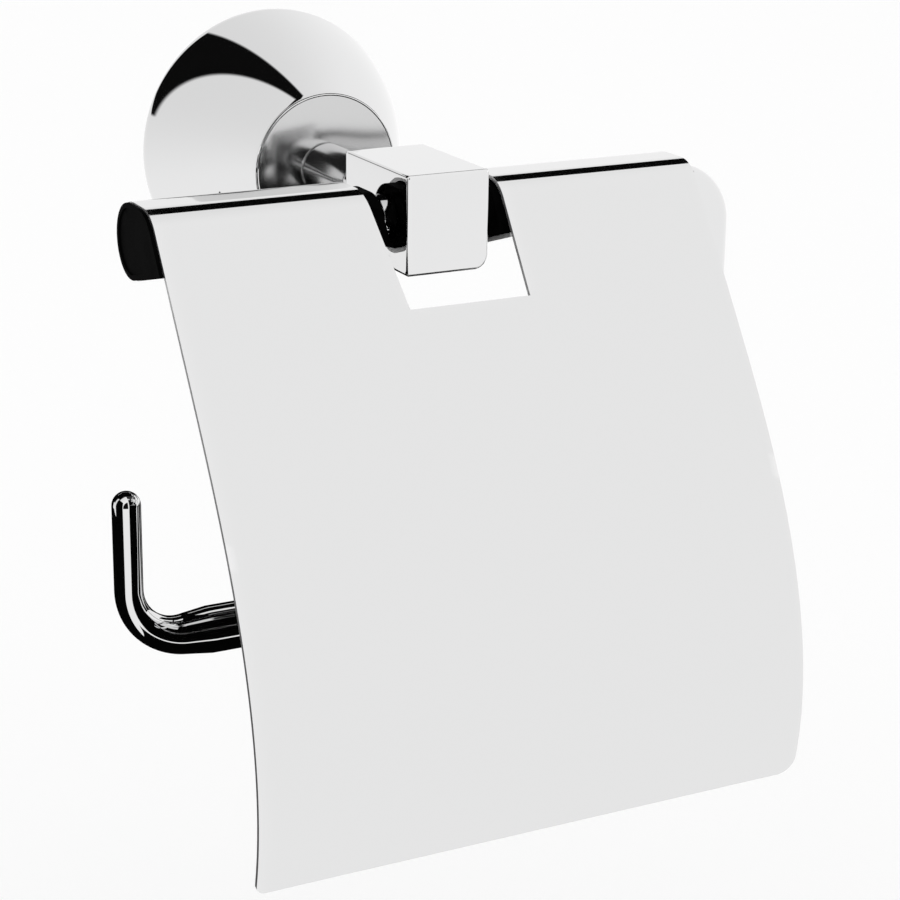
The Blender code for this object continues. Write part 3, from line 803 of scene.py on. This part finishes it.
def sheet_section():
    """Rows of the sheet from the lip, round the roll and down the flap.

    Each row is (y, z, outward y, outward z, run down the flap or a negative number).
    """
    rows = []
    lip = math.radians(ROLL_END_ANGLE)
    start = (ROLL_RADIUS * math.cos(lip), ROLL_RADIUS * math.sin(lip))
    flap_y, flap_z = flap_point(0.0)
    fall = flap_z + LIP_FALL
    lean = math.radians(LEAN)
    end_y = flap_y - fall * math.tan(lean) + (SHEET + GAP) / math.cos(lean)
    end = (end_y, start[1] + (end_y - start[0]) * math.tan(lip - math.radians(90.0)))
    normal = (math.cos(lip), math.sin(lip))
    for i in range(LIP_ROWS):
        t = 1 - i / LIP_ROWS
        rows.append((start[0] + (end[0] - start[0]) * t, start[1] + (end[1] - start[1]) * t,
                     *normal, -1.0))
    for i in range(ROLL_ROWS + 1):
        a = math.radians(ROLL_END_ANGLE + (90.0 - ROLL_END_ANGLE) * i / ROLL_ROWS)
        rows.append((ROLL_RADIUS * math.cos(a), ROLL_RADIUS * math.sin(a), math.cos(a),
                     math.sin(a), -1.0))
    for i in range(1, TOP_ROWS):
        rows.append((-TOP_RUN * i / TOP_ROWS, ROLL_RADIUS, 0.0, 1.0, -1.0))
    centre = (-TOP_RUN, ROLL_RADIUS - BROW_RADIUS)
    for i in range(BROW_ROWS):
        a = math.radians(90.0 + (90.0 - LEAN) * i / BROW_ROWS)
        rows.append((centre[0] + BROW_RADIUS * math.cos(a), centre[1] + BROW_RADIUS * math.sin(a),
                     math.cos(a), math.sin(a), -1.0))
    for run in flap_runs():
        y, z = flap_point(run)
        angle = flap_angle(run)
        rows.append((y, z, -math.cos(angle), math.sin(angle), run))
    return rows


def sheet_columns():
    """Even stations across the sheet, with one on each edge of the notch."""
    half = COVER_HIGH.x
    left = [-half + (NOTCH_LEFT + half) * i / SIDE_COLUMNS for i in range(SIDE_COLUMNS)]
    middle = [NOTCH_LEFT + (NOTCH_RIGHT - NOTCH_LEFT) * i / NOTCH_COLUMNS
              for i in range(NOTCH_COLUMNS)]
    right = [NOTCH_RIGHT + (half - NOTCH_RIGHT) * i / SIDE_COLUMNS
             for i in range(SIDE_COLUMNS + 1)]
    return left + middle + right


def slanted(x, z, foot_z):
    """Draws a station over with the notch's left side, which slants inwards on its way down."""
    fall = NOTCH_RUN * math.cos(math.radians(LEAN))
    share = min(1.0, (foot_z - z) / fall)
    edge = NOTCH_LEFT + (NOTCH_LEFT_LOW - NOTCH_LEFT) * share
    half = COVER_HIGH.x
    if x <= NOTCH_LEFT:
        return -half + (x + half) * (edge + half) / (NOTCH_LEFT + half)
    if x < NOTCH_RIGHT:
        return NOTCH_RIGHT + (x - NOTCH_RIGHT) * (edge - NOTCH_RIGHT) / (NOTCH_LEFT - NOTCH_RIGHT)
    return x


def edge_at(run, radius):
    """How far a rounded bottom corner draws the side edge in at this row."""
    over = run - (FLAP_LENGTH - radius)
    if over <= 0:
        return 0.0
    return radius - math.sqrt(max(0.0, radius * radius - over * over))


def make_cover():
    """One sheet, rolled at the top, cut out round the arm block, with softened edges."""
    half, calm = COVER_HIGH.x, COVER_HIGH.x - CORNER_ZONE
    columns, rows = sheet_columns(), sheet_section()
    foot_z = flap_point(0.0)[1]
    bm = bmesh.new()
    outer, inner = [], []
    for y, z, ny, nz, run in rows:
        left = half - edge_at(run, CORNER_LEFT)
        right = half - edge_at(run, CORNER_RIGHT)
        outer_row, inner_row = [], []
        for x in columns:
            x = slanted(x, z, foot_z)
            limit = right if x > 0 else left
            if abs(x) > calm:
                x = math.copysign(calm + (abs(x) - calm) * (limit - calm) / (half - calm), x)
            outer_row.append(bm.verts.new((x, HINGE.y + y, HINGE.z + z)))
            inner_row.append(bm.verts.new((x, HINGE.y + y - SHEET * ny, HINGE.z + z - SHEET * nz)))
        outer.append(outer_row)
        inner.append(inner_row)

    def kept(i, k):
        """Whether the sheet covers the patch after this row and column."""
        inside = NOTCH_LEFT < (columns[k] + columns[k + 1]) / 2 < NOTCH_RIGHT
        return not (inside and rows[i + 1][4] <= NOTCH_RUN + 1e-6)

    rims = []
    for i in range(len(rows) - 1):
        for k in range(len(columns) - 1):
            if not kept(i, k):
                continue
            bm.faces.new((outer[i][k], outer[i][k + 1], outer[i + 1][k + 1], outer[i + 1][k]))
            bm.faces.new((inner[i + 1][k], inner[i + 1][k + 1], inner[i][k + 1], inner[i][k]))
            sides = (((i, k), (i, k + 1), i == 0 or not kept(i - 1, k)),
                     ((i + 1, k), (i + 1, k + 1), i == len(rows) - 2),
                     ((i, k), (i + 1, k), k == 0 or not kept(i, k - 1)),
                     ((i, k + 1), (i + 1, k + 1), k == len(columns) - 2 or not kept(i, k + 1)))
            for (ai, ak), (bi, bk), is_open in sides:
                if is_open:
                    rim = bm.faces.new((outer[ai][ak], outer[bi][bk],
                                        inner[bi][bk], inner[ai][ak]))
                    rim.material_index = 1
                    rims += [(outer[ai][ak], outer[bi][bk]), (inner[ai][ak], inner[bi][bk])]
    loose = [v for v in bm.verts if not v.link_faces]
    edges = [bm.edges.get(pair) for pair in rims]
    bmesh.ops.delete(bm, geom=loose, context="VERTS")
    bmesh.ops.bevel(bm, geom=[e for e in edges if e], offset=SHEET_EDGE, segments=2,
                    affect="EDGES", profile=0.5, clamp_overlap=True)
    cover = add_piece("cover_sheet", bm, POLISHED, "cover", "polished_sheet", "cover")
    cover.data.materials.append(CUT_EDGE)
    even_flats(cover)


# ---------------------------------------------------------------- bushes and caps

def tube_outline(offset):
    """The closed D of the rolled edge's section, set in from its outer face."""
    lean = math.radians(LEAN)
    brow = arc((-TOP_RUN, ROLL_RADIUS - BROW_RADIUS), BROW_RADIUS - offset, 180 - LEAN, 90, 16)
    back = arc((0.0, 0.0), ROLL_RADIUS - offset, 90, ROLL_END_ANGLE, 40)
    flap_y, flap_z = flap_point(0.0)
    y = flap_y + offset * math.cos(lean)
    z = flap_z - offset * math.sin(lean)
    fall = z + LIP_FALL - offset
    return brow + back + [(y - fall * math.tan(lean), z - fall)]


def make_plug(node, side):
    """A D-shaped plug in the roll with a sunk panel; side points from its outer face inwards."""
    low, high = corners(node)
    bm = slab(tube_outline(SHEET + GAP), ALONG_X, low.x, high.x, PLUG_EDGE)
    plug = add_piece(node + "_body", bm, NYLON, "cover", "black_nylon", node)
    drilled(plug, journal_drill(low.x, PLUG_DRILL_REACH))
    face = low.x if side > 0 else high.x
    levels = sorted((face - side * MM, face + side * PLUG_PANEL_DEPTH))
    drilled(plug, slab(tube_outline(PLUG_PANEL_INSET), ALONG_X, *levels, 0.05 * MM, 1))
    if node == "bush_left":
        sector = [(0.0, 0.0)] + arc((0.0, 0.0), 2 * ROLL_RADIUS, *STOP_ANGLES, 12)
        drilled(plug, slab(sector, ALONG_X, low.x - MM, low.x + STOP_CUT, 0.02 * MM, 1))
    even_flats(plug)


def make_left_cap():
    """The closed cap at the open end: a lid over the roll's mouth, and its plug."""
    low, high = corners("end_cap_left")
    lid_end = low.x + LID
    bm = slab(tube_outline(LID_INSET), ALONG_X, low.x, lid_end, LID_EDGE)
    lid = add_piece("end_cap_left_lid", bm, NYLON, "cover", "black_nylon", "end_cap_left")
    drilled(lid, slab(tube_outline(LID_PANEL_INSET), ALONG_X, low.x - MM,
                      low.x + LID_PANEL_DEPTH, 0.05 * MM, 1))
    even_flats(lid)
    bm = slab(tube_outline(SHEET + GAP), ALONG_X, lid_end - LID_OVERLAP, high.x, CAP_PLUG_EDGE)
    plug = add_piece("end_cap_left_plug", bm, NYLON, "cover", "black_nylon", "end_cap_left")
    drilled(plug, journal_drill(high.x, high.x - JOURNAL_END_X + GAP))
    even_flats(plug)


make_rosette()
make_post()
make_arm()
make_spacers()
make_bar()
make_cover()
make_left_cap()
make_plug("end_cap_right", -1)
make_plug("bush_left", -1)
make_plug("bush_right", 1)

for name in ("wall_bracket", "rosette_grub_screw", "post_bolt", "arm_stud", "arm_grub_screw",
             "stop_pin"):
    for holder in frame["nodes"][name].material_slots:
        holder.material = ZINC
